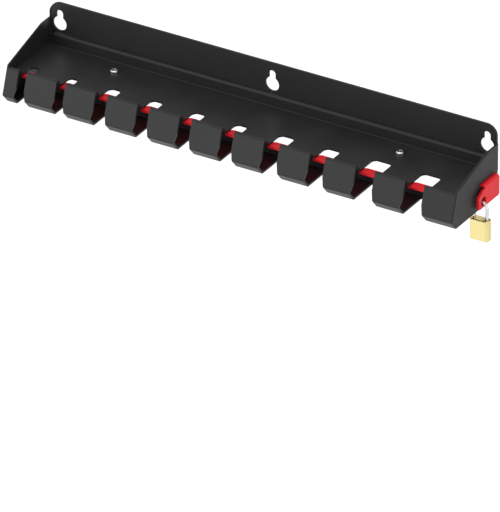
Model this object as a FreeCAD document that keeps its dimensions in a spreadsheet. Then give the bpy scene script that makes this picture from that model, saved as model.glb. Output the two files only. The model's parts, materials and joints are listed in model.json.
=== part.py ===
"""Wall rack for ten pry bars, held shut by a sliding bar and a padlock.

Frame: X to the right, Y into the wall, Z up. The origin lies on the wall plane, at the
centre of the middle keyhole's round part, so everything else stands at negative Y.
"""
import FreeCAD
import Part
import math
import os
import Sketcher
from FreeCAD import Vector

SIZES = {
    # folded sheet
    "overall_width": 500.0,
    "sheet": 2.0,
    "bend_inside": 0.6,
    "rear_bend_inside": 1.0,
    # wall plate and its keyholes
    "plate_inset": 1.3,
    "plate_above": 23.0,
    "plate_below": 23.5,
    "plate_corner": 12.0,
    "keyhole_spacing": 237.7,
    "keyhole_head": 15.0,
    "keyhole_slot": 7.4,
    "keyhole_rise": 11.0,
    # side cheeks
    "cheek_top_rise": 16.0,
    "cheek_top_depth": 21.0,
    "cheek_rear_step": 3.0,
    "cheek_edge": 1.4,
    # tray section, from the lip
    "lip_drop": 11.5,
    "lip_depth": 80.0,
    "front_lean": 9.7,
    "front_height": 29.5,
    "chamfer_depth": 8.9,
    "chamfer_height": 10.0,
    "flange_rear": 42.0,
    "flange_lip": 5.0,
    "riser_run": 8.6,
    "shelf_drop": 10.0,
    "ledge_rise": 2.5,
    "ledge_depth": 7.0,
    "ledge_end_gap": 6.0,
    "ledge_end_depth": 10.0,
    # slots and fingers
    "left_end": 14.0,
    "finger_width": 33.5,
    "finger_taper": 2.25,
    "taper_drop": 20.0,
    "slot_corner": 6.0,
    "width_first": 9.0,
    "width_second": 10.0,
    "width_middle": 13.5,
    "width_wide": 17.0,
    "width_widest": 21.0,
    "rear_first": 55.5,
    "rear_middle": 53.0,
    "rear_wide": 50.0,
    "rear_widest": 46.0,
    # sliding lock bar
    "bar_gap": 0.3,
    "bar_thickness": 2.5,
    "bar_front": 72.3,
    "bar_rear": 8.0,
    "bar_left_gap": 4.0,
    "bar_travel": 22.5,
    "tooth_depth": 10.1,
    "tooth_lap": 1.5,
    "tooth_corner": 5.0,
    "cutout_side": 1.0,
    "cutout_behind": 4.0,
    "cutout_corner": 4.0,
    "tongue_width": 27.5,
    "tongue_clearance": 1.0,
    "tongue_sag": 0.5,
    "end_plate_gap": 2.0,
    "end_plate_widening": 0.9,
    "end_plate_front": 46.4,
    "end_plate_drop": 34.7,
    "end_plate_corner": 2.4,
    "end_plate_step": 21.5,
    "relief_radius": 1.2,
    # guide fasteners
    "guide_left": 163.0,
    "guide_right": 155.0,
    "guide_depth": 24.5,
    "screw_radius": 2.0,
    "screw_head_radius": 4.2,
    "screw_head_height": 2.6,
    "screw_head_rim": 0.9,
    "screw_tail": 0.8,
    "recess_span": 4.4,
    "recess_width": 1.1,
    "recess_depth": 1.5,
    "shank_clearance": 0.1,
    "spacer_wall": 1.1,
    "spacer_clearance": 0.3,
    "washer_radius": 6.0,
    "washer_thickness": 1.0,
    "washer_gap": 0.2,
    "nut_flats": 7.0,
    "nut_height": 3.2,
    # padlock
    "lock_hole_radius": 4.5,
    "lock_hole_depth": 37.0,
    "lock_hole_drop": 28.2,
    "shackle_radius": 1.65,
    "shackle_span": 14.0,
    "shackle_seat": 0.1,
    "shackle_reach": 11.0,
    "shackle_heel": 12.0,
    "shackle_toe": 6.0,
    "shackle_clearance": 0.1,
    "lock_width": 20.6,
    "lock_thickness": 9.5,
    "lock_height": 22.2,
    "lock_side_round": 3.0,
    "lock_edge_bevel": 0.7,
    "plug_radius": 3.6,
    "plug_depth": 7.0,
    "plug_clearance": 0.05,
    "plug_recess": 0.4,
    "keyway_width": 1.1,
    "keyway_height": 4.4,
    "keyway_depth": 4.0,
    # reach of the trimming cuts beyond the sheet
    "overcut": 5.0,
}

# Width and rear end of each slot, from the left.
SLOTS = [
    ("width_first", "rear_first"),
    ("width_second", "rear_first"),
    ("width_middle", "rear_middle"),
    ("width_middle", "rear_middle"),
    ("width_middle", "rear_middle"),
    ("width_middle", "rear_middle"),
    ("width_wide", "rear_wide"),
    ("width_wide", "rear_wide"),
    ("width_widest", "rear_widest"),
    ("width_widest", "rear_widest"),
]


class Size:
    """A number together with the spreadsheet expression that gives it."""

    def __init__(self, number, text):
        self.number = number
        self.text = text

    def __add__(self, other):
        return Size(self.number + other.number, f"({self.text} + {other.text})")

    def __sub__(self, other):
        return Size(self.number - other.number, f"({self.text} - {other.text})")

    def __neg__(self):
        return Size(-self.number, f"(-{self.text})")

    def __mul__(self, factor):
        return Size(self.number * factor, f"({self.text} * {factor})")

    def __truediv__(self, divisor):
        return Size(self.number / divisor, f"({self.text} / {divisor})")


def size(name):
    return Size(SIZES[name], f"Sizes.{name}")


def smaller(first, second):
    """The smaller of two sizes, also in the spreadsheet expression."""
    return Size(min(first.number, second.number), f"min({first.text}; {second.text})")


def hypotenuse_leg(long_side, leg):
    """The other leg of a right triangle."""
    number = math.sqrt(long_side.number ** 2 - leg.number ** 2)
    return Size(number, f"sqrt({long_side.text} ^ 2 - {leg.text} ^ 2)")


ZERO = Size(0.0, "0")

# Places that several pieces share, in the rack's frame.
HALF_WIDTH = size("overall_width") / 2
CHEEK_INNER = HALF_WIDTH - size("sheet")
LIP_Z = -size("lip_drop")
SHELF_TOP = LIP_Z - size("shelf_drop")
SHELF_BOTTOM = SHELF_TOP - size("sheet")
BAR_TOP = SHELF_BOTTOM - size("bar_gap")
BAR_BOTTOM = BAR_TOP - size("bar_thickness")
FRONT_LOW_Y = -size("lip_depth") - size("front_lean")
FRONT_LOW_Z = LIP_Z - size("front_height")
FLANGE_Y = FRONT_LOW_Y + size("chamfer_depth")
FLANGE_Z = FRONT_LOW_Z - size("chamfer_height")
BEND_OUTSIDE = size("bend_inside") + size("sheet")
LOCK_HOLE = (-size("lock_hole_depth"), LIP_Z - size("lock_hole_drop"))
TONGUE_REAR = -size("bar_rear")
TONGUE_FRONT = TONGUE_REAR - size("tongue_width")
END_PLATE_INNER = HALF_WIDTH + size("end_plate_gap")
END_PLATE_OUTER = END_PLATE_INNER + size("bar_thickness")
GUIDES = {"left": -size("guide_left"), "right": size("guide_right")}

doc = FreeCAD.newDocument("pry_bar_rack")


def fill_sheet():
    sheet = doc.addObject("Spreadsheet::Sheet", "Sizes")
    for row, (name, number) in enumerate(SIZES.items(), start=1):
        sheet.set(f"A{row}", name)
        sheet.set(f"B{row}", str(number))
        sheet.setAlias(f"B{row}", name)
    doc.recompute()


def new_body(node):
    body = doc.addObject("PartDesign::Body", f"{node}_body")
    body.Label = node
    return body


def new_sketch(body, name, role, offset=ZERO):
    """A sketch on one of the body's origin planes, moved along the plane's normal."""
    plane = next(item for item in body.Origin.OriginFeatures if item.Role == role)
    sketch = body.newObject("Sketcher::SketchObject", f"{body.Label}_{name}")
    sketch.AttachmentSupport = (plane, [""])
    sketch.MapMode = "FlatFace"
    sketch.setExpression("AttachmentOffset.Base.z", offset.text)
    return sketch


class Ties:
    """Collects a sketch's constraints, so that it is solved once with all of them."""

    def __init__(self, sketch):
        self.sketch = sketch
        self.constraints = []
        self.expressions = {}

    def join(self, kind, *references):
        self.constraints.append(Sketcher.Constraint(kind, *references))

    def bind(self, kind, *references, value):
        self.expressions[len(self.constraints)] = value.text
        self.constraints.append(Sketcher.Constraint(kind, *references, value.number))

    def pin(self, geometry, position, corner):
        self.bind("DistanceX", -1, 1, geometry, position, value=corner[0])
        self.bind("DistanceY", -1, 1, geometry, position, value=corner[1])

    def apply(self):
        first = self.sketch.ConstraintCount
        self.sketch.addConstraint(self.constraints)
        for index, text in self.expressions.items():
            self.sketch.setExpression(f"Constraints[{first + index}]", text)


def as_points(corners):
    return [Vector(across.number, up.number, 0) for across, up in corners]


def add_polygon(sketch, corners):
    """A closed outline of straight lines through corners given as pairs of sizes."""
    add_rounded_path(sketch, corners, [None] * len(corners))


def add_box(sketch, low, high):
    add_polygon(sketch, [low, (high[0], low[1]), high, (low[0], high[1])])


def add_circle(sketch, centre, radius):
    middle = Vector(centre[0].number, centre[1].number, 0)
    circle = sketch.addGeometry(Part.Circle(middle, Vector(0, 0, 1), radius.number))
    ties = Ties(sketch)
    ties.pin(circle, 3, centre)
    ties.bind("Radius", circle, value=radius)
    ties.apply()


def counterclockwise_arc(centre, start, end):
    """The arc as a sketch stores it, always turning to the left."""
    circle = Part.Circle(centre, Vector(0, 0, 1), (start - centre).Length)
    first = math.atan2(start.y - centre.y, start.x - centre.x)
    last = math.atan2(end.y - centre.y, end.x - centre.x)
    return Part.ArcOfCircle(circle, first, last if last > first else last + 2 * math.pi)


def add_chain(ties, points, radii, closed):
    """Straight runs joined by tangent arcs; radii holds None where a corner stays sharp."""
    sketch = ties.sketch
    count = len(points)
    entry = list(points)
    leave = list(points)
    arcs = {}
    for index, radius in enumerate(radii):
        if radius is None:
            continue
        before = (points[index] - points[index - 1]).normalize()
        after = (points[(index + 1) % count] - points[index]).normalize()
        turned = before.getAngle(after)
        setback = radius.number * math.tan(turned / 2)
        entry[index] = points[index] - before * setback
        leave[index] = points[index] + after * setback
        inward = (after - before).normalize()
        centre = points[index] + inward * (radius.number / math.cos(turned / 2))
        turns_left = before.cross(after).z > 0
        start, end = (entry[index], leave[index]) if turns_left else (leave[index], entry[index])
        arcs[index] = (counterclockwise_arc(centre, start, end), turns_left)
    lines = []
    for run in range(count if closed else count - 1):
        end = entry[(run + 1) % count]
        lines.append(sketch.addGeometry(Part.LineSegment(leave[run], end)))
    for index in range(0 if closed else 1, len(lines)):
        before = lines[index - 1]
        after = lines[index]
        if index not in arcs:
            ties.join("Coincident", before, 2, after, 1)
            continue
        curve, turns_left = arcs[index]
        arc = sketch.addGeometry(curve)
        near, far = (1, 2) if turns_left else (2, 1)
        ties.join("Tangent", before, 2, arc, near)
        ties.join("Tangent", arc, far, after, 1)
        ties.bind("Radius", arc, value=radii[index])
    return lines


def add_pinned_chain(ties, corners, radii, closed):
    """A chain whose corners, sharp or rounded, are each bound to a pair of sizes."""
    points = as_points(corners)
    lines = add_chain(ties, points, radii, closed)
    for index, (corner, radius) in enumerate(zip(corners, radii)):
        if radius is None and index < len(lines):
            ties.pin(lines[index], 1, corner)
        elif radius is None:
            ties.pin(lines[-1], 2, corner)
        else:
            tip = ties.sketch.addGeometry(Part.Point(points[index]), True)
            ties.join("PointOnObject", tip, 1, lines[index - 1])
            ties.join("PointOnObject", tip, 1, lines[index])
            ties.pin(tip, 1, corner)
    return lines


def add_rounded_path(sketch, corners, radii):
    """A closed outline through the corners, rounded where radii holds a size."""
    ties = Ties(sketch)
    add_pinned_chain(ties, corners, radii, closed=True)
    ties.apply()


def add_folded_sheet(sketch, corners, bends, thickness):
    """A folded sheet's section: one side through the corners, the other parallel to its left."""
    ties = Ties(sketch)
    points = as_points(corners)
    first_radii = [pair and pair[0] for pair in bends]
    second_radii = [pair and pair[1] for pair in bends]
    first_side = add_pinned_chain(ties, corners, first_radii, closed=False)
    headings = [(end - start).normalize() for start, end in zip(points, points[1:])]
    headings = headings[:1] + headings + headings[-1:]
    parallel = []
    for point, before, after in zip(points, headings, headings[1:]):
        left = Vector(-before.y - after.y, before.x + after.x, 0)
        parallel.append(point + left * (thickness.number / (1 + before.dot(after))))
    second_side = add_chain(ties, parallel, second_radii, closed=False)
    for first, second in zip(first_side, second_side):
        ties.join("Parallel", first, second)
        ties.bind("Distance", second, 1, first, value=thickness)
    for run, position in ((0, 1), (-1, 2)):
        cap = sketch.addGeometry(Part.LineSegment(points[run], parallel[run]))
        ties.join("Coincident", cap, 1, first_side[run], position)
        ties.join("Coincident", cap, 2, second_side[run], position)
        ties.join("Perpendicular", cap, first_side[run])
    ties.apply()


def pad(body, sketch, name, length, reversed_side=False, symmetric=False):
    feature = body.newObject("PartDesign::Pad", f"{body.Label}_{name}")
    feature.Profile = sketch
    feature.setExpression("Length", length.text)
    feature.SideType = "Symmetric" if symmetric else "One side"
    feature.Reversed = reversed_side
    return feature


def pocket(body, sketch, name, depth=None, reversed_side=False, symmetric=False):
    """Cut the sketch out of the body: through everything, or to a depth."""
    feature = body.newObject("PartDesign::Pocket", f"{body.Label}_{name}")
    feature.Profile = sketch
    feature.SideType = "Symmetric" if symmetric else "One side"
    if depth is None:
        feature.Type = "ThroughAll"
    else:
        feature.setExpression("Length", depth.text)
    feature.Reversed = reversed_side
    return feature


def turn(body, sketch, name, angle=360.0, reversed_side=False):
    """Turn the sketch about its own vertical axis."""
    feature = body.newObject("PartDesign::Revolution", f"{body.Label}_{name}")
    feature.Profile = sketch
    feature.ReferenceAxis = (sketch, ["V_Axis"])
    feature.Angle = angle
    feature.Reversed = reversed_side
    return feature


def soften(body, name, amount, wanted, kind="Fillet"):
    """Fillet or chamfer the edges of the body's tip for which wanted(edge) is true."""
    doc.recompute()
    base = body.Tip
    names = [f"Edge{i}" for i, edge in enumerate(base.Shape.Edges, start=1) if wanted(edge)]
    feature = body.newObject(f"PartDesign::{kind}", f"{body.Label}_{name}")
    feature.Base = (base, names)
    feature.setExpression("Radius" if kind == "Fillet" else "Size", amount.text)
    return feature


def runs_along(edge, axis):
    """True for a straight edge parallel to an axis."""
    if edge.Curve.TypeId != "Part::GeomLine":
        return False
    return abs(edge.Curve.Direction.dot(axis)) > 0.999


def passes(edge, **place):
    """True where the middle of the edge has the given coordinates."""
    middle = edge.CenterOfGravity
    return all(abs(getattr(middle, axis) - value) < 0.02 for axis, value in place.items())


def slot_spans():
    """Left side, right side and rear end of each slot of the tray."""
    left = -HALF_WIDTH + size("left_end")
    for width, rear in SLOTS:
        right = left + size(width)
        yield left, right, -size(rear)
        left = right + size("finger_width")


def place_body(body, across, depth, height):
    body.setExpression("Placement.Base.x", across.text)
    body.setExpression("Placement.Base.y", depth.text)
    body.setExpression("Placement.Base.z", height.text)


def trim_frame(sketch, low, high):
    """The outer border of a trimming cut, whose inner border is the outline that stays."""
    over = size("overcut")
    add_box(sketch, (low[0] - over, low[1] - over), (high[0] + over, high[1] + over))


def make_back_plate():
    """Wall plate with both side cheeks bent forward from it."""
    body = new_body("back_plate")
    top = size("plate_above")
    plan = new_sketch(body, "plan", "XY_Plane", FLANGE_Z)
    front = FRONT_LOW_Y
    add_polygon(plan, [
        (-HALF_WIDTH, ZERO),
        (-HALF_WIDTH, front),
        (-CHEEK_INNER, front),
        (-CHEEK_INNER, -size("sheet")),
        (CHEEK_INNER, -size("sheet")),
        (CHEEK_INNER, front),
        (HALF_WIDTH, front),
        (HALF_WIDTH, ZERO),
    ])
    pad(body, plan, "channel", top - FLANGE_Z)
    upright = Vector(0, 0, 1)
    half = HALF_WIDTH.number
    inner = CHEEK_INNER.number
    outside = size("rear_bend_inside") + size("sheet")
    soften(body, "bend_outside", outside,
           lambda edge: runs_along(edge, upright) and abs(edge.CenterOfGravity.x) > half - 0.01
           and passes(edge, y=0))
    soften(body, "bend_inside", size("rear_bend_inside"),
           lambda edge: runs_along(edge, upright) and passes(edge, y=-SIZES["sheet"])
           and abs(abs(edge.CenterOfGravity.x) - inner) < 0.01)

    side = new_sketch(body, "side", "YZ_Plane")
    trim_frame(side, (front, FLANGE_Z), (ZERO, top))
    cheek_top = LIP_Z + size("cheek_top_rise")
    rear = -size("cheek_rear_step")
    corners = [
        (size("overcut") / 2, top + size("overcut") / 2),
        (-size("sheet") - size("rear_bend_inside"), top + size("overcut") / 2),
        (-size("sheet") - size("rear_bend_inside"), cheek_top),
        (-size("cheek_top_depth"), cheek_top),
        (-size("lip_depth"), LIP_Z),
        (FRONT_LOW_Y, FRONT_LOW_Z),
        (FLANGE_Y, FLANGE_Z),
        (rear, FLANGE_Z),
        (rear, -size("plate_below")),
        (size("overcut") / 2, -size("plate_below")),
    ]
    radii = [None] * 4 + [BEND_OUTSIDE] * 3 + [None] * 3
    add_rounded_path(side, corners, radii)
    pocket(body, side, "side_trim", symmetric=True)

    face = new_sketch(body, "face", "XZ_Plane")
    trim_frame(face, (-HALF_WIDTH, FLANGE_Z), (HALF_WIDTH, top))
    edge_x = HALF_WIDTH - size("plate_inset")
    out = HALF_WIDTH + size("overcut") / 2
    low = FLANGE_Z - size("overcut") / 2
    corner = size("plate_corner")
    add_rounded_path(face, [
        (-out, low),
        (out, low),
        (out, cheek_top),
        (edge_x, cheek_top),
        (edge_x, top),
        (-edge_x, top),
        (-edge_x, cheek_top),
        (-out, cheek_top),
    ], [None, None, None, None, corner, corner, None, None])
    pocket(body, face, "face_trim", symmetric=True)

    cut_keyholes(body)

    lock = new_sketch(body, "lock_cuts", "YZ_Plane")
    gap = size("tongue_clearance")
    add_box(lock, (TONGUE_FRONT - gap, BAR_BOTTOM - size("tongue_sag")), (TONGUE_REAR + gap / 2, SHELF_BOTTOM))
    add_circle(lock, LOCK_HOLE, size("lock_hole_radius"))
    pocket(body, lock, "lock_cuts_right", reversed_side=True)

    slope_middle = -(SIZES["cheek_top_depth"] + SIZES["lip_depth"]) / 2
    soften(body, "cheek_edges", smaller(size("cheek_edge"), size("sheet") * 0.7),
           lambda edge: abs(abs(edge.CenterOfGravity.x) - half) < 0.001
           and edge.CenterOfGravity.y < slope_middle + 3)
    return body


def cut_keyholes(body):
    """A round hole for a screw head that narrows upwards to a slot for its neck."""
    head = size("keyhole_head") / 2
    neck = size("keyhole_slot") / 2
    rise = size("keyhole_rise")
    side = -size("keyhole_spacing")
    meet = hypotenuse_leg(head, neck)
    sketch = new_sketch(body, "keyhole", "XZ_Plane")
    left = side.number - neck.number
    right = side.number + neck.number
    opening = math.acos(neck.number / head.number)
    around = Vector(0, 0, 1)
    bowl = sketch.addGeometry(Part.ArcOfCircle(
        Part.Circle(Vector(side.number, 0, 0), around, head.number),
        math.pi - opening, 2 * math.pi + opening))
    top = sketch.addGeometry(Part.ArcOfCircle(
        Part.Circle(Vector(side.number, rise.number, 0), around, neck.number), 0, math.pi))
    right_side = sketch.addGeometry(Part.LineSegment(
        Vector(right, meet.number, 0), Vector(right, rise.number, 0)))
    left_side = sketch.addGeometry(Part.LineSegment(
        Vector(left, rise.number, 0), Vector(left, meet.number, 0)))
    ties = Ties(sketch)
    ties.join("Coincident", bowl, 2, right_side, 1)
    ties.join("Tangent", right_side, 2, top, 1)
    ties.join("Tangent", top, 2, left_side, 1)
    ties.join("Coincident", left_side, 2, bowl, 1)
    ties.join("Vertical", right_side)
    ties.join("Vertical", left_side)
    ties.pin(bowl, 3, (side, ZERO))
    ties.pin(top, 3, (side, rise))
    ties.bind("Radius", bowl, value=head)
    ties.bind("Radius", top, value=neck)
    ties.apply()
    first = pocket(body, sketch, "keyhole_left", symmetric=True)
    pattern = body.newObject("PartDesign::LinearPattern", "back_plate_keyhole_row")
    pattern.Originals = [first]
    pattern.Direction = (sketch, ["H_Axis"])
    pattern.setExpression("Length", (size("keyhole_spacing") * 2).text)
    pattern.Occurrences = 3
    body.Tip = pattern
    doc.recompute()


def make_slotted_tray():
    """Folded tray: ledge at the wall, sunk shelf, raised lip, leaning front, bottom flange."""
    body = new_body("slotted_tray")
    section = new_sketch(body, "section", "YZ_Plane", -CHEEK_INNER)
    add_tray_section(section)
    pad(body, section, "sheet", CHEEK_INNER * 2)

    notches = new_sketch(body, "end_notches", "XY_Plane")
    inner = CHEEK_INNER - size("ledge_end_gap")
    outer = CHEEK_INNER + size("overcut")
    depth = -size("ledge_end_depth")
    add_box(notches, (-outer, depth), (-inner, size("overcut")))
    add_box(notches, (inner, depth), (outer, size("overcut")))
    pocket(body, notches, "end_notches", symmetric=True)

    guides = new_sketch(body, "guide_holes", "XY_Plane")
    for across in GUIDES.values():
        add_circle(guides, (across, -size("guide_depth")), size("screw_radius") + size("shank_clearance"))
    pocket(body, guides, "guide_holes", depth=-SHELF_BOTTOM + size("sheet"))

    for number, (left, right, rear) in enumerate(slot_spans(), start=1):
        cut_slot(body, number, left, right, rear)
    return body


def add_tray_section(sketch):
    """The folded sheet from the ledge at the wall to the bottom flange's upturned lip."""
    lip_y = -size("lip_depth")
    ledge_z = LIP_Z + size("ledge_rise")
    inwards = (BEND_OUTSIDE, size("bend_inside"))
    outwards = (size("bend_inside"), BEND_OUTSIDE)
    add_folded_sheet(sketch, [
        (-size("sheet"), ledge_z),
        (-size("ledge_depth"), ledge_z),
        (-size("ledge_depth"), SHELF_TOP),
        (lip_y + size("riser_run"), SHELF_TOP),
        (lip_y, LIP_Z),
        (FRONT_LOW_Y, FRONT_LOW_Z),
        (FLANGE_Y, FLANGE_Z),
        (-size("flange_rear"), FLANGE_Z),
        (-size("flange_rear"), FLANGE_Z + size("flange_lip")),
    ], [None, inwards, outwards, outwards, inwards, inwards, inwards, inwards, None], size("sheet"))


def cut_slot(body, number, left, right, rear):
    """One slot, open at the front: straight through shelf and lip, wider below the taper."""
    plan = new_sketch(body, f"slot_{number}_plan", "XY_Plane", FRONT_LOW_Z)
    front = FRONT_LOW_Y - size("overcut")
    corner = smaller(size("slot_corner"), (right - left) * 0.48)
    add_rounded_path(plan, [(left, front), (right, front), (right, rear), (left, rear)],
                     [None, None, corner, corner])
    pocket(body, plan, f"slot_{number}_upper", depth=size("front_height") + size("overcut"),
           reversed_side=True)

    face = new_sketch(body, f"slot_{number}_face", "XZ_Plane", -rear)
    taper = size("finger_taper")
    low = FLANGE_Z - size("overcut")
    start = LIP_Z - size("taper_drop")
    add_polygon(face, [
        (left, start),
        (left - taper, FRONT_LOW_Z),
        (left - taper, low),
        (right + taper, low),
        (right + taper, FRONT_LOW_Z),
        (right, start),
    ])
    pocket(body, face, f"slot_{number}_lower", reversed_side=True)


def make_lock_bar():
    """Flat bar with a tooth across each slot, slid from the tongue at its right end."""
    body = new_body("lock_bar")
    plan = new_sketch(body, "plan", "XY_Plane", BAR_BOTTOM)
    spans = list(slot_spans())
    left = -CHEEK_INNER + size("bar_left_gap")
    shoulder = CHEEK_INNER - size("bar_travel") - size("cutout_side")
    bend_start = HALF_WIDTH
    front = -size("bar_front")
    add_polygon(plan, [
        (left, TONGUE_REAR),
        (left, front),
        (shoulder, front),
        (shoulder, TONGUE_FRONT),
        (bend_start, TONGUE_FRONT),
        (bend_start, TONGUE_REAR),
    ])
    pad(body, plan, "strip", size("bar_thickness"))
    for number, span in enumerate(spans, start=1):
        cut_tooth(body, number, *span)

    slots = new_sketch(body, "guide_slots", "XY_Plane", BAR_BOTTOM)
    reach = size("screw_radius") + size("shank_clearance") + size("spacer_wall") + size("spacer_clearance")
    middle = -size("guide_depth")
    round_end = reach * 0.98
    for across in GUIDES.values():
        add_rounded_path(slots, [
            (across - size("bar_travel") - reach, middle - reach),
            (across + reach, middle - reach),
            (across + reach, middle + reach),
            (across - size("bar_travel") - reach, middle + reach),
        ], [round_end] * 4)
    pocket(body, slots, "guide_slots", depth=size("bar_thickness"), reversed_side=True)

    make_end_plate(body, bend_start)
    return body


def cut_tooth(body, number, left, right, rear):
    """The J-shaped cut-out beside and behind one tooth."""
    plan = new_sketch(body, f"cutout_{number}", "XY_Plane", BAR_BOTTOM)
    open_side = left - size("bar_travel")
    tip = left - size("tooth_lap")
    tooth_rear = -size("bar_front") + size("tooth_depth")
    front = -size("bar_front") - size("overcut")
    far = right + size("cutout_side")
    behind = rear + size("cutout_behind")
    corner = size("cutout_corner")
    half_reach = (behind - tooth_rear) * 0.45
    add_rounded_path(plan, [
        (open_side, front),
        (tip, front),
        (tip, tooth_rear),
        (far, tooth_rear),
        (far, behind),
        (open_side, behind),
    ], [None, None, size("tooth_corner"), smaller(corner, half_reach) * 0.5,
        smaller(corner, half_reach), smaller(corner, half_reach)])
    pocket(body, plan, f"cutout_{number}", depth=size("bar_thickness"), reversed_side=True)


def make_end_plate(body, bend_start):
    """The tongue's end, bent down outside the cheek, with the padlock's hole."""
    profile = new_sketch(body, "end_profile", "XZ_Plane", -TONGUE_REAR - size("end_plate_widening"))
    low = LIP_Z - size("end_plate_drop")
    inside = BEND_OUTSIDE - size("sheet")
    add_rounded_path(profile, [
        (bend_start, BAR_BOTTOM),
        (END_PLATE_INNER, BAR_BOTTOM),
        (END_PLATE_INNER, low),
        (END_PLATE_OUTER, low),
        (END_PLATE_OUTER, BAR_TOP),
        (bend_start, BAR_TOP),
    ], [None, None, None, None, BEND_OUTSIDE, None])
    rear = TONGUE_REAR + size("end_plate_widening")
    front = -size("end_plate_front")
    pad(body, profile, "end_bend", rear - front)

    outline = new_sketch(body, "end_outline", "YZ_Plane", bend_start)
    trim_frame(outline, (front, low), (rear, BAR_TOP))
    corner = size("end_plate_corner")
    above = BAR_TOP + size("overcut") / 2
    shoulder = BAR_BOTTOM - inside
    add_rounded_path(outline, [
        (TONGUE_FRONT, above),
        (TONGUE_FRONT, shoulder),
        (front, LIP_Z - size("end_plate_step")),
        (front, low),
        (rear, low),
        (rear, shoulder),
        (TONGUE_REAR, BAR_BOTTOM + size("bar_thickness") / 4),
        (TONGUE_REAR, above),
    ], [None, None, corner, corner, corner, None, None, None])
    pocket(body, outline, "end_trim", reversed_side=True)

    holes = new_sketch(body, "end_holes", "YZ_Plane", bend_start)
    add_circle(holes, LOCK_HOLE, size("lock_hole_radius"))
    pocket(body, holes, "end_hole", reversed_side=True)
    relief = new_sketch(body, "relief", "YZ_Plane", bend_start)
    add_circle(relief, (TONGUE_FRONT, shoulder), size("relief_radius"))
    pocket(body, relief, "relief", reversed_side=True)


def make_guide(side, across):
    """Screw, spacer, washer and nut that carry the bar under the shelf."""
    depth = -size("guide_depth")
    shank = size("screw_radius")
    bore = shank + size("shank_clearance")
    spacer_length = SHELF_BOTTOM - BAR_BOTTOM + size("washer_gap")
    washer_top = SHELF_BOTTOM - spacer_length
    washer_bottom = washer_top - size("washer_thickness")
    nut_bottom = washer_bottom - size("nut_height")
    tail = SHELF_TOP - nut_bottom + size("screw_tail")

    screw = new_body(f"guide_screw_{side}")
    profile = new_sketch(screw, "profile", "XZ_Plane")
    head = size("screw_head_radius")
    height = size("screw_head_height")
    rim = size("screw_head_rim")
    add_polygon(profile, [
        (ZERO, -tail),
        (shank, -tail),
        (shank, ZERO),
        (head, ZERO),
        (head, height - rim),
        (head - rim, height),
        (ZERO, height),
    ])
    turn(screw, profile, "turned")
    cross = new_sketch(screw, "recess", "XY_Plane", height)
    arm = size("recess_span") / 2
    half = size("recess_width") / 2
    add_polygon(cross, [
        (-half, -arm), (half, -arm), (half, -half), (arm, -half), (arm, half), (half, half),
        (half, arm), (-half, arm), (-half, half), (-arm, half), (-arm, -half), (-half, -half),
    ])
    pocket(screw, cross, "recess", depth=size("recess_depth"))
    place_body(screw, across, depth, SHELF_TOP)

    rings = [
        ("spacer", bore + size("spacer_wall"), washer_top, spacer_length),
        ("washer", size("washer_radius"), washer_bottom, size("washer_thickness")),
    ]
    bodies = [screw]
    for name, radius, bottom, length in rings:
        ring = new_body(f"guide_{name}_{side}")
        outline = new_sketch(ring, "outline", "XY_Plane")
        add_circle(outline, (ZERO, ZERO), radius)
        add_circle(outline, (ZERO, ZERO), bore)
        pad(ring, outline, "ring", length)
        place_body(ring, across, depth, bottom)
        bodies.append(ring)

    nut = new_body(f"guide_nut_{side}")
    outline = new_sketch(nut, "outline", "XY_Plane")
    half_flats = size("nut_flats") / 2
    point = half_flats * round(2 / math.sqrt(3), 6)
    add_polygon(outline, [
        (point, ZERO), (point / 2, half_flats), (-point / 2, half_flats),
        (-point, ZERO), (-point / 2, -half_flats), (point / 2, -half_flats),
    ])
    add_circle(outline, (ZERO, ZERO), shank + size("shank_clearance") / 2)
    pad(nut, outline, "hexagon", size("nut_height"))
    place_body(nut, across, depth, nut_bottom)
    bodies.append(nut)
    return bodies


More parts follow.
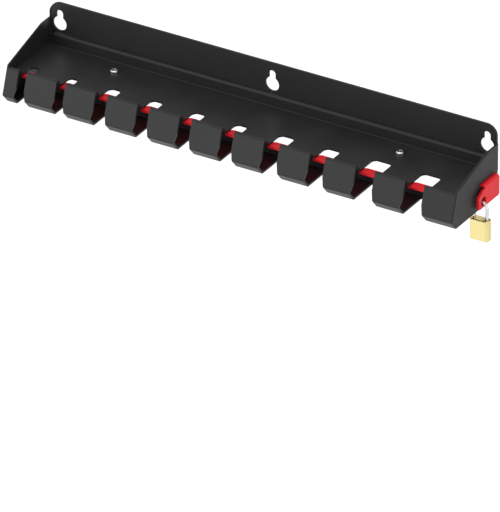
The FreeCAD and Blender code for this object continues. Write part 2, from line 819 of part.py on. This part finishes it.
def make_padlock():
    """Small padlock hanging by its shackle from the holes of the cheek and the end plate."""
    wire = size("shackle_radius")
    half_span = size("shackle_span") / 2
    across = (CHEEK_INNER + END_PLATE_OUTER) / 2
    half_stack = (END_PLATE_OUTER - CHEEK_INNER) / 2
    rim = LOCK_HOLE[1] - size("lock_hole_radius")
    crown = rim - hypotenuse_leg(half_span - wire, half_stack) + size("shackle_seat")
    lock_top = crown - size("shackle_reach")
    depth = LOCK_HOLE[0]

    shackle = new_body("padlock_shackle")
    bow = new_sketch(shackle, "bow", "XY_Plane")
    add_circle(bow, (half_span, ZERO), wire)
    turn(shackle, bow, "bow", 180.0, reversed_side=True)
    for name, side, reach in (("heel", -half_span, "shackle_heel"), ("toe", half_span, "shackle_toe")):
        leg = new_sketch(shackle, name, "XY_Plane")
        add_circle(leg, (side, ZERO), wire)
        pad(shackle, leg, name, size("shackle_reach") + size(reach), reversed_side=True)
    place_body(shackle, across, depth, crown)

    block = new_body("padlock_body")
    plan = new_sketch(block, "plan", "XY_Plane")
    half_width = size("lock_width") / 2
    half_thick = size("lock_thickness") / 2
    side_round = smaller(size("lock_side_round"), half_thick * 0.9)
    add_rounded_path(plan, [
        (-half_width, -half_thick), (half_width, -half_thick), (half_width, half_thick), (-half_width, half_thick),
    ], [side_round] * 4)
    pad(block, plan, "block", size("lock_height"), reversed_side=True)
    low = -SIZES["lock_height"]
    soften(block, "edge_bevel", size("lock_edge_bevel"),
           lambda edge: passes(edge, z=0) or passes(edge, z=low), kind="Chamfer")
    for name, side, reach in (("heel", -half_span, "shackle_heel"), ("toe", half_span, "shackle_toe")):
        hole = new_sketch(block, f"{name}_hole", "XY_Plane")
        add_circle(hole, (side, ZERO), wire + size("shackle_clearance"))
        pocket(block, hole, f"{name}_hole", depth=size(reach) + size("shackle_clearance"))
    core = new_sketch(block, "plug_hole", "XY_Plane", -size("lock_height"))
    add_circle(core, (ZERO, ZERO), size("plug_radius") + size("plug_clearance"))
    pocket(block, core, "plug_hole", depth=size("plug_depth"), reversed_side=True)
    place_body(block, across, depth, lock_top)

    plug = new_body("padlock_plug")
    disc = new_sketch(plug, "disc", "XY_Plane")
    add_circle(disc, (ZERO, ZERO), size("plug_radius"))
    pad(plug, disc, "cylinder", size("plug_depth") - size("plug_recess"))
    keyway = new_sketch(plug, "keyway", "XY_Plane")
    half_key = size("keyway_width") / 2
    half_long = size("keyway_height") / 2
    add_box(keyway, (-half_long, -half_key), (half_long, half_key))
    pocket(plug, keyway, "keyway", depth=size("keyway_depth"), reversed_side=True)
    place_body(plug, across, depth, lock_top - size("lock_height") + size("plug_recess"))
    return [shackle, block, plug]


def check_document(bodies):
    """Stop before anything is written if a feature failed or a cut removed nothing."""
    for item in doc.Objects:
        if any(word in item.State for word in ("Invalid", "Error")):
            raise RuntimeError(f"{item.Name} failed to build")
        if item.TypeId == "PartDesign::Pocket":
            if item.Shape.Volume > item.BaseFeature.Shape.Volume - 1e-3:
                raise RuntimeError(f"{item.Name} cuts nothing")
    for body in bodies:
        shape = body.Shape
        if shape.isNull() or not shape.isValid() or len(shape.Solids) != 1:
            raise RuntimeError(f"{body.Label} has no sound single solid")


def main():
    fill_sheet()
    bodies = [make_back_plate(), make_slotted_tray(), make_lock_bar()]
    for side, across in GUIDES.items():
        bodies.extend(make_guide(side, across))
    bodies.extend(make_padlock())
    doc.recompute()
    check_document(bodies)
    os.makedirs("parts", exist_ok=True)
    for body in bodies:
        body.Shape.exportStep(f"parts/{body.Label}.step")
        box = body.Shape.BoundBox
        print(f"{body.Label}: {box.XLength:.1f} x {box.YLength:.1f} x {box.ZLength:.1f} mm")


main()
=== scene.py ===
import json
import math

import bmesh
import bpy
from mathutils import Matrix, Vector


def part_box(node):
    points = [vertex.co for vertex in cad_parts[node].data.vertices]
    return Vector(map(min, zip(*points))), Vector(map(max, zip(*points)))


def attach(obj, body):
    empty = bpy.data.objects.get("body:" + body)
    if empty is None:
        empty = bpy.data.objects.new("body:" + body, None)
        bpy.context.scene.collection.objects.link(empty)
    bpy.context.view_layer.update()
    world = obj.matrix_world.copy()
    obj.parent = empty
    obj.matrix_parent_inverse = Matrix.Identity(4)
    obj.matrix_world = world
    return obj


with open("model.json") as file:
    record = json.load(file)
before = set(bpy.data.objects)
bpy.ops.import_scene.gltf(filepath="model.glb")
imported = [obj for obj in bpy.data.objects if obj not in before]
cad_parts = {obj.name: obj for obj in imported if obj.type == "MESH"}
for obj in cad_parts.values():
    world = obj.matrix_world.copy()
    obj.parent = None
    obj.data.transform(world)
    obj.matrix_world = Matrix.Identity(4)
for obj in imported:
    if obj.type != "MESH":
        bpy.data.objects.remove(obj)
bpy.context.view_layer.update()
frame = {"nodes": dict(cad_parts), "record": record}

# %% [markdown]
# A slotted wall rack: two folded sheets of black powder-coated steel, a red bar that slides
# across the mouths of the slots, and a small brass padlock that holds it shut. The packed
# model has nearly all of the shape, so this lesson is mostly about surfaces: how powder
# coat, zinc plate, linished brass and chrome look close up, and how to light a dark object
# on a white ground without losing its folds.

nodes = frame["nodes"]

# %% [markdown]
# The photograph was taken from far off, so its parallel lines hardly converge. An
# orthographic camera could copy that, but a long lens at eighteen metres gives the same flat
# view and still behaves like a real camera. It aims a little below the rack, because the
# rack fills only the upper half of the picture.

# %% Camera
AIM = Vector((-0.0258, -0.0002, -0.1967))
AZIMUTH = math.radians(30.7)
ELEVATION = math.radians(29.1)
DISTANCE = 18.0
VIEW_WIDTH = 0.4815
SENSOR_WIDTH = 36.0
FARTHEST_SEEN = 100.0


def direction(azimuth, elevation):
    """Unit vector from the rack towards a viewer or a lamp."""
    level = math.cos(elevation)
    return Vector((math.sin(azimuth) * level, -math.cos(azimuth) * level, math.sin(elevation)))


def point_at(thing, target):
    thing.rotation_euler = (target - thing.location).to_track_quat("-Z", "Y").to_euler()


camera_data = bpy.data.cameras.new("camera")
camera_data.sensor_fit = "HORIZONTAL"
camera_data.sensor_width = SENSOR_WIDTH
camera_data.lens = SENSOR_WIDTH * DISTANCE / VIEW_WIDTH
camera_data.clip_end = FARTHEST_SEEN
camera = bpy.data.objects.new("camera", camera_data)
camera.location = AIM + DISTANCE * direction(AZIMUTH, ELEVATION)
point_at(camera, AIM)
bpy.context.scene.collection.objects.link(camera)
bpy.context.scene.camera = camera
bpy.context.scene.view_settings.view_transform = "Standard"
print("lens in mm", round(camera_data.lens, 1))

# %% [markdown]
# Materials are built from nodes. Wiring them by hand takes many lines, so a few helpers
# keep it readable: one fills a socket with a value or a link, one adds a node with its
# inputs, and the rest do one sum each. A blend node shows only the sockets of its own
# kind, which is why that helper looks for the enabled ones.


# %% Node helpers
def feed(tree, target, value):
    if isinstance(value, bpy.types.NodeSocket):
        tree.links.new(value, target)
    else:
        target.default_value = value


def add_node(tree, kind, **inputs):
    node = tree.nodes.new(kind)
    for name, value in inputs.items():
        feed(tree, node.inputs[name.replace("_", " ")], value)
    return node


def blend_colors(tree, share, first, second):
    node = tree.nodes.new("ShaderNodeMix")
    node.data_type = "RGBA"
    shown = [socket for socket in node.inputs if socket.enabled]
    for target, value in zip(shown, (share, first, second)):
        feed(tree, target, value)
    return next(socket for socket in node.outputs if socket.enabled)


def calculate(tree, operation, first, second):
    node = tree.nodes.new("ShaderNodeMath")
    node.operation = operation
    feed(tree, node.inputs[0], first)
    feed(tree, node.inputs[1], second)
    return node.outputs["Value"]


def rescale(tree, value, low, high, new_low=0.0, new_high=1.0):
    node = add_node(tree, "ShaderNodeMapRange", Value=value, From_Min=low, From_Max=high,
                    To_Min=new_low, To_Max=new_high)
    return node.outputs["Result"]


def noise(tree, scale, detail, vector):
    node = add_node(tree, "ShaderNodeTexNoise", Scale=scale, Detail=detail, Vector=vector)
    return node.outputs["Fac"]


def new_group(name, inputs, output):
    """A node group of plain value inputs and one value output."""
    group = bpy.data.node_groups.new(name, "ShaderNodeTree")
    for label, value in inputs.items():
        socket = group.interface.new_socket(label, in_out="INPUT", socket_type="NodeSocketFloat")
        socket.default_value = value
    group.interface.new_socket(output, in_out="OUTPUT", socket_type="NodeSocketFloat")
    return group, group.nodes.new("NodeGroupInput").outputs, group.nodes.new("NodeGroupOutput").inputs


def use_group(tree, group, **inputs):
    node = tree.nodes.new("ShaderNodeGroup")
    node.node_tree = group
    for name, value in inputs.items():
        feed(tree, node.inputs[name.replace("_", " ")], value)
    return node.outputs[0]


# %% [markdown]
# Powder coat is dust that was baked until it flowed, and it never flows quite flat. It
# keeps a soft orange peel, a millimetre or two across, under a finer grain. Both are
# height patterns, so one group adds two noises at its own sizes, and each finish sets
# their height. Bump is right for this: the waves are a few hundredths of a millimetre high.

# %% Orange peel
PEEL_SIZE = 0.0016
PEEL_DETAIL = 1.0
GRAIN_SIZE = 0.00035
GRAIN_DETAIL = 2.0
GRAIN_SHARE = 0.3

orange_peel, entry, leave = new_group(
    "orange_peel",
    {"Peel Scale": 1 / PEEL_SIZE, "Grain Scale": 1 / GRAIN_SIZE, "Grain Share": GRAIN_SHARE},
    "Height")
place = orange_peel.nodes.new("ShaderNodeTexCoord").outputs["Object"]
peel = noise(orange_peel, entry["Peel Scale"], PEEL_DETAIL, place)
grain = noise(orange_peel, entry["Grain Scale"], GRAIN_DETAIL, place)
weighed = calculate(orange_peel, "MULTIPLY", grain, entry["Grain Share"])
feed(orange_peel, leave["Height"], calculate(orange_peel, "ADD", peel, weighed))
print("orange peel of", round(1000 * PEEL_SIZE, 1), "mm")

# %% [markdown]
# Handling rubs a finish away along the outer edges first, and on the coats the same mask
# also carries a painted highlight along each edge. The Bevel node gives the normal that a
# rounded edge would have. Where that departs from the face's own normal, an edge is near,
# and a slow noise breaks the line up, so that no edge is worn or lit evenly.

# %% Worn edges and painted edge highlight
EDGE_REACH = 0.0006
FACE_LIKENESS = 0.985
EDGE_LIKENESS = 0.8
EDGE_PATCH = 0.011
EDGE_PATCH_DETAIL = 4.0
EDGE_PATCH_START = 0.42
EDGE_PATCH_FULL = 0.66

edge_wear_and_highlight, entry, leave = new_group(
    "edge_wear_and_highlight", {"Reach": EDGE_REACH, "Patch Scale": 1 / EDGE_PATCH, "Amount": 1.0}, "Mask")
place = edge_wear_and_highlight.nodes.new("ShaderNodeTexCoord").outputs["Object"]
rounded = add_node(edge_wear_and_highlight, "ShaderNodeBevel", Radius=entry["Reach"])
geometry = edge_wear_and_highlight.nodes.new("ShaderNodeNewGeometry")
likeness = edge_wear_and_highlight.nodes.new("ShaderNodeVectorMath")
likeness.operation = "DOT_PRODUCT"
feed(edge_wear_and_highlight, likeness.inputs[0], rounded.outputs["Normal"])
feed(edge_wear_and_highlight, likeness.inputs[1], geometry.outputs["Normal"])
near_edge = rescale(edge_wear_and_highlight, likeness.outputs["Value"], FACE_LIKENESS, EDGE_LIKENESS)
clouds = noise(edge_wear_and_highlight, entry["Patch Scale"], EDGE_PATCH_DETAIL, place)
patches = rescale(edge_wear_and_highlight, clouds, EDGE_PATCH_START, EDGE_PATCH_FULL)
# this edge mask is rubbed wear and, on the coats, a painted edge highlight
wear_and_highlight_mask = calculate(edge_wear_and_highlight, "MULTIPLY", near_edge, patches)
feed(edge_wear_and_highlight, leave["Mask"], calculate(edge_wear_and_highlight, "MULTIPLY", wear_and_highlight_mask, entry["Amount"]))
print("edges wear within", round(1000 * EDGE_REACH, 1), "mm")

# %% [markdown]
# A rack on a workshop wall gathers a little pale dust on what faces up. The normal's
# height tells how level a face is, and a noise leaves the dust in drifts. It is thin here,
# because the rack is new.

# %% Settled dust
STEEPEST_DUSTY = 0.6
DUST_DRIFT = 0.03
DRIFT_DETAIL = 5.0
DRIFT_START = 0.35
DRIFT_FULL = 0.75

settled_dust, entry, leave = new_group(
    "settled_dust", {"Drift Scale": 1 / DUST_DRIFT, "Amount": 1.0}, "Mask")
place = settled_dust.nodes.new("ShaderNodeTexCoord").outputs["Object"]
normal = settled_dust.nodes.new("ShaderNodeNewGeometry").outputs["Normal"]
upward = add_node(settled_dust, "ShaderNodeSeparateXYZ", Vector=normal).outputs["Z"]
level = rescale(settled_dust, upward, STEEPEST_DUSTY, 1.0)
clouds = noise(settled_dust, entry["Drift Scale"], DRIFT_DETAIL, place)
drifts = rescale(settled_dust, clouds, DRIFT_START, DRIFT_FULL)
dusty = calculate(settled_dust, "MULTIPLY", level, drifts)
feed(settled_dust, leave["Mask"], calculate(settled_dust, "MULTIPLY", dusty, entry["Amount"]))
print("dust drifts of", round(1000 * DUST_DRIFT), "mm")

# %% [markdown]
# Two powder coats share these groups. The black one is satin and darker than it looks,
# because its sheen lifts it. The red one is a little smoother. Each wanders by a few
# percent over the sheet, as the thickness of the coat does, and its edges turn paler,
# partly as rubbed coat and partly as a painted highlight. A number that is the same all
# over stays on the shader's own socket.

# %% Powder coats
COAT_DRIFT = 0.05
COAT_DETAIL = 3.0
COLOR_SPREAD = 0.12
ROUGHNESS_SPREAD = 0.05
BUMP_STRENGTH = 0.5
EDGE_ROUNDING = 0.0004
DUST = (0.30, 0.29, 0.27, 1.0)


def shaded(color, factor):
    return (*[min(1.0, channel * factor) for channel in color], 1.0)


def make_powder_coat(name, base, rubbed_and_highlit, roughness, gloss, peel_height, wear_and_highlight, dust):
    material = bpy.data.materials.new(name)
    material.use_nodes = True
    tree = material.node_tree
    shader = tree.nodes["Principled BSDF"]
    place = tree.nodes.new("ShaderNodeTexCoord").outputs["Object"]
    drift = noise(tree, 1 / COAT_DRIFT, COAT_DETAIL, place)
    color = blend_colors(tree, drift, shaded(base, 1 - COLOR_SPREAD), shaded(base, 1 + COLOR_SPREAD))
    color = blend_colors(tree, use_group(tree, settled_dust, Amount=dust), color, DUST)
    wear_and_highlight_mask = use_group(tree, edge_wear_and_highlight, Amount=wear_and_highlight)
    # the paler edge colour is rubbed coat plus a painted edge highlight
    feed(tree, shader.inputs["Base Color"], blend_colors(tree, wear_and_highlight_mask, color, shaded(rubbed_and_highlit, 1.0)))
    uneven = rescale(tree, drift, 0.0, 1.0, roughness - ROUGHNESS_SPREAD, roughness + ROUGHNESS_SPREAD)
    feed(tree, shader.inputs["Roughness"], uneven)
    shader.inputs["Specular IOR Level"].default_value = gloss
    soft_edges = add_node(tree, "ShaderNodeBevel", Radius=EDGE_ROUNDING)
    bump = add_node(tree, "ShaderNodeBump", Strength=BUMP_STRENGTH, Distance=peel_height,
                    Height=use_group(tree, orange_peel), Normal=soft_edges.outputs["Normal"])
    feed(tree, shader.inputs["Normal"], bump.outputs["Normal"])
    return material


# the rubbed colours below also serve as painted edge highlights, paler than the coat
black_coat = make_powder_coat(
    "black_powder_coat", base=(0.018, 0.0185, 0.0195), rubbed_and_highlit=(0.085, 0.085, 0.087),
    roughness=0.45, gloss=0.22, peel_height=0.00006, wear_and_highlight=0.35, dust=0.03)
red_coat = make_powder_coat(
    "red_powder_coat", base=(0.84, 0.012, 0.022), rubbed_and_highlit=(0.88, 0.10, 0.10),
    roughness=0.38, gloss=0.2, peel_height=0.00006, wear_and_highlight=0.5, dust=0.02)
print("coats:", black_coat.name, "and", red_coat.name)

# %% [markdown]
# Bare metal shows how it was worked. A belt leaves long fine scratches on the padlock's
# brass, and tumbled or plated steel hardly shows any. A noise squeezed along one axis
# gives scratches, and the same height breaks up the gloss, so that highlights streak the
# way they do on brushed metal.


# %% Metals
SCRATCH_DETAIL = 3.0
SCRATCH_LOW = 0.2
SCRATCH_HIGH = 0.8
GLOSS_SPREAD = 0.25
STAIN_SIZE = 0.00625
STAIN_DETAIL = 4.0
STAIN_START = 0.5
STAIN_FULL = 0.8
POLISHED_EDGE = 1.1


def make_metal(name, base, tarnished, roughness, scratch_scale, scratch_depth, wear_and_highlight):
    material = bpy.data.materials.new(name)
    material.use_nodes = True
    tree = material.node_tree
    shader = tree.nodes["Principled BSDF"]
    shader.inputs["Metallic"].default_value = 1.0
    place = tree.nodes.new("ShaderNodeTexCoord").outputs["Object"]
    squeezed = add_node(tree, "ShaderNodeMapping", Vector=place, Scale=scratch_scale).outputs["Vector"]
    scratches = noise(tree, 1.0, SCRATCH_DETAIL, squeezed)
    stains = rescale(tree, noise(tree, 1 / STAIN_SIZE, STAIN_DETAIL, place), STAIN_START, STAIN_FULL)
    color = blend_colors(tree, stains, shaded(base, 1.0), shaded(tarnished, 1.0))
    wear_and_highlight_mask = use_group(tree, edge_wear_and_highlight, Amount=wear_and_highlight)
    feed(tree, shader.inputs["Base Color"], blend_colors(tree, wear_and_highlight_mask, color, shaded(base, POLISHED_EDGE)))
    streaks = rescale(tree, scratches, SCRATCH_LOW, SCRATCH_HIGH,
                      roughness * (1 - GLOSS_SPREAD), roughness * (1 + GLOSS_SPREAD))
    feed(tree, shader.inputs["Roughness"], streaks)
    soft_edges = add_node(tree, "ShaderNodeBevel", Radius=EDGE_ROUNDING)
    bump = add_node(tree, "ShaderNodeBump", Strength=BUMP_STRENGTH, Distance=scratch_depth,
                    Height=scratches, Normal=soft_edges.outputs["Normal"])
    feed(tree, shader.inputs["Normal"], bump.outputs["Normal"])
    return material


brass = make_metal(
    "linished_brass", base=(0.71, 0.61, 0.28), tarnished=(0.66, 0.56, 0.25), roughness=0.3,
    scratch_scale=(3000.0, 3000.0, 80.0), scratch_depth=0.00001, wear_and_highlight=0.6)
plug_brass = make_metal(
    "turned_brass", base=(0.74, 0.60, 0.30), tarnished=(0.45, 0.34, 0.16), roughness=0.34,
    scratch_scale=(2500.0, 2500.0, 2500.0), scratch_depth=0.000008, wear_and_highlight=0.4)
chrome = make_metal(
    "chromed_steel", base=(0.56, 0.57, 0.58), tarnished=(0.44, 0.45, 0.46), roughness=0.09,
    scratch_scale=(900.0, 900.0, 900.0), scratch_depth=0.000003, wear_and_highlight=0.2)
zinc = make_metal(
    "bright_zinc", base=(0.66, 0.67, 0.68), tarnished=(0.46, 0.46, 0.45), roughness=0.22,
    scratch_scale=(1500.0, 1500.0, 1500.0), scratch_depth=0.000006, wear_and_highlight=0.3)
print("metals:", brass.name, plug_brass.name, chrome.name, zinc.name)

# %% [markdown]
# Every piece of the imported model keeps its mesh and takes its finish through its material
# slot. The record pairs each piece with the name of a slot, so one loop dresses them all.

# %% Dress the pieces
FINISHES = {
    "black_coat": black_coat,
    "red_coat": red_coat,
    "zinc": zinc,
    "brass": brass,
    "chrome": chrome,
    "plug_brass": plug_brass,
}
for subpart in frame["record"]["subparts"]:
    for material_slot in nodes[subpart["node"]].material_slots:
        material_slot.material = FINISHES[subpart["material_slot"]]
print("dressed", len(nodes), "pieces")

# %% [markdown]
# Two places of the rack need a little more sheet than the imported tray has. Both belong to
# folds that run along X, so each is drawn as the section of its fold and extruded. A box
# with a bevel would do for a straight strip, but not for a bend, and one helper serves both.


# %% Folds along X
def arc(centre, radius, start, end, steps=6):
    """Points of an arc in the YZ plane, with angles in degrees from +Y towards +Z."""
    y, z = centre
    angles = [math.radians(start + (end - start) * step / steps) for step in range(steps + 1)]
    return [(y + radius * math.cos(angle), z + radius * math.sin(angle)) for angle in angles]


def extrude_fold(name, outline, x_low, x_high):
    count = len(outline)
    corners = [(x, y, z) for x in (x_low, x_high) for y, z in outline]
    sides = [(i, (i + 1) % count, (i + 1) % count + count, i + count) for i in range(count)]
    caps = [tuple(reversed(range(count))), tuple(range(count, 2 * count))]
    mesh = bpy.data.meshes.new(name)
    mesh.from_pydata(corners, [], sides + caps)
    shell = bmesh.new()
    shell.from_mesh(mesh)
    bmesh.ops.recalc_face_normals(shell, faces=shell.faces)
    shell.to_mesh(mesh)
    shell.free()
    mesh.materials.append(black_coat)
    fold = bpy.data.objects.new(name, mesh)
    bpy.context.scene.collection.objects.link(fold)
    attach(fold, "root")
    print(name, "runs from", round(1000 * x_low, 1), "to", round(1000 * x_high, 1), "mm")


# %% [markdown]
# Behind the slots the bottom flange of the tray turns up as an inner lip, which stiffens the
# flange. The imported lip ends 6.5 mm too low, and white would show between it and the red
# teeth. A plain strip carries it on upwards in the same plane. Its top edge is sheared, so
# the corners are only just rounded.

# %% Inner lip
SHEET = 0.002
LIP_REAR = -0.042
LIP_RAISED = 0.0065
LIP_FOOT = 0.005
SHEARED_EDGE = 0.0004

tray_low, tray_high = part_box("slotted_tray")
foot = tray_low.z + LIP_FOOT
top = foot + LIP_RAISED
lip_front = LIP_REAR - SHEET
extrude_fold("inner_lip", [
    (lip_front, foot),
    *arc((lip_front + SHEARED_EDGE, top - SHEARED_EDGE), SHEARED_EDGE, 180, 90),
    *arc((LIP_REAR - SHEARED_EDGE, top - SHEARED_EDGE), SHEARED_EDGE, 90, 0),
    (LIP_REAR, foot),
], tray_low.x, tray_high.x)

# %% [markdown]
# At the wall the shelf bends up into a step that runs on to both cheeks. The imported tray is
# cut back by 6 mm at each end, where light would show through. Each gap is filled with the
# same bent section as the step, so that the highlight along the bend runs on unbroken.

# %% Ends of the step at the wall
STEP_FRONT = -0.007
SHELF_TOP = -0.0215
SHELF_EDGE = -0.010
STEP_TOP = -0.0104
BEND_INSIDE = 0.0006
RELIEF_LENGTH = 0.006

bend_centre = (STEP_FRONT - BEND_INSIDE, SHELF_TOP + BEND_INSIDE)
step_section = [
    (SHELF_EDGE, SHELF_TOP),
    *arc(bend_centre, BEND_INSIDE, -90, 0),
    (STEP_FRONT, STEP_TOP),
    (STEP_FRONT + SHEET, STEP_TOP),
    *arc(bend_centre, BEND_INSIDE + SHEET, 0, -90),
    (SHELF_EDGE, SHELF_TOP - SHEET),
]
extrude_fold("step_end_left", step_section, tray_low.x, tray_low.x + RELIEF_LENGTH)
extrude_fold("step_end_right", step_section, tray_high.x - RELIEF_LENGTH, tray_high.x)

# %% [markdown]
# The ground is white to the camera and to anything shiny, and only pale grey to the light
# itself, so that it never floods the underside of the rack. Light Path tells these rays
# apart. The floor glows only partly and takes the rest of its whiteness from the lamps,
# so a shadow still darkens it. It lies well below the padlock, since the rack hangs on a
# wall.

# %% Ground
FLOOR_LEVEL = -0.9
FLOOR_REACH = 40.0
FLOOR_COLOR = (0.8, 0.8, 0.8, 1.0)
FLOOR_ROUGHNESS = 0.9
FLOOR_GLOW = 0.52
WORLD_LEVEL = 0.6


def rays_that_see(tree):
    """1 for camera, glossy and transmission rays, and 0 for the rest."""
    path = tree.nodes.new("ShaderNodeLightPath").outputs
    shiny = calculate(tree, "MAXIMUM", path["Is Glossy Ray"], path["Is Transmission Ray"])
    return calculate(tree, "MAXIMUM", path["Is Camera Ray"], shiny)


signs = [(-1, -1), (1, -1), (1, 1), (-1, 1)]
floor_corners = [(x * FLOOR_REACH, y * FLOOR_REACH, FLOOR_LEVEL) for x, y in signs]
floor_mesh = bpy.data.meshes.new("floor")
floor_mesh.from_pydata(floor_corners, [], [(0, 1, 2, 3)])
floor = bpy.data.objects.new("floor", floor_mesh)
bpy.context.scene.collection.objects.link(floor)

floor_material = bpy.data.materials.new("pale_floor")
floor_material.use_nodes = True
tree = floor_material.node_tree
floor_shader = tree.nodes["Principled BSDF"]
floor_shader.inputs["Base Color"].default_value = FLOOR_COLOR
floor_shader.inputs["Roughness"].default_value = FLOOR_ROUGHNESS
glow_strength = calculate(tree, "MULTIPLY", rays_that_see(tree), FLOOR_GLOW)
glow = add_node(tree, "ShaderNodeEmission", Strength=glow_strength)
lit_and_glowing = tree.nodes.new("ShaderNodeAddShader")
feed(tree, lit_and_glowing.inputs[0], floor_shader.outputs["BSDF"])
feed(tree, lit_and_glowing.inputs[1], glow.outputs["Emission"])
feed(tree, tree.nodes["Material Output"].inputs["Surface"], lit_and_glowing.outputs["Shader"])
floor_mesh.materials.append(floor_material)

world = bpy.data.worlds.new("studio")
world.use_nodes = True
bpy.context.scene.world = world
tree = world.node_tree
background = tree.nodes["Background"]
background.inputs["Color"].default_value = (1.0, 1.0, 1.0, 1.0)
world_strength = rescale(tree, rays_that_see(tree), 0.0, 1.0, WORLD_LEVEL, 1.0)
feed(tree, background.inputs["Strength"], world_strength)
print("floor at", FLOOR_LEVEL, "m")

# %% [markdown]
# Soft boxes light the rack. The leaning fronts of the fingers are its lightest planes in
# the photograph, so a box stands low in front and to the left, where those fronts mirror
# it towards the camera. A second at the right catches the cheek and the padlock, and a
# weak one overhead keeps the shelf from going black.

# %% Lamps
MIDDLE = Vector((0.0, -0.045, -0.03))


def add_soft_box(name, azimuth, elevation, distance, size, power):
    data = bpy.data.lights.new(name, "AREA")
    data.size = size
    data.energy = power
    lamp = bpy.data.objects.new(name, data)
    lamp.location = MIDDLE + distance * direction(math.radians(azimuth), math.radians(elevation))
    point_at(lamp, MIDDLE)
    bpy.context.scene.collection.objects.link(lamp)
    print(name, [round(value, 2) for value in lamp.location])


add_soft_box("front_left", azimuth=-35.0, elevation=12.0, distance=2.4, size=1.6, power=23.0)
add_soft_box("right", azimuth=75.0, elevation=8.0, distance=2.2, size=1.6, power=9.5)
add_soft_box("overhead", azimuth=10.0, elevation=72.0, distance=2.0, size=1.4, power=7.0)
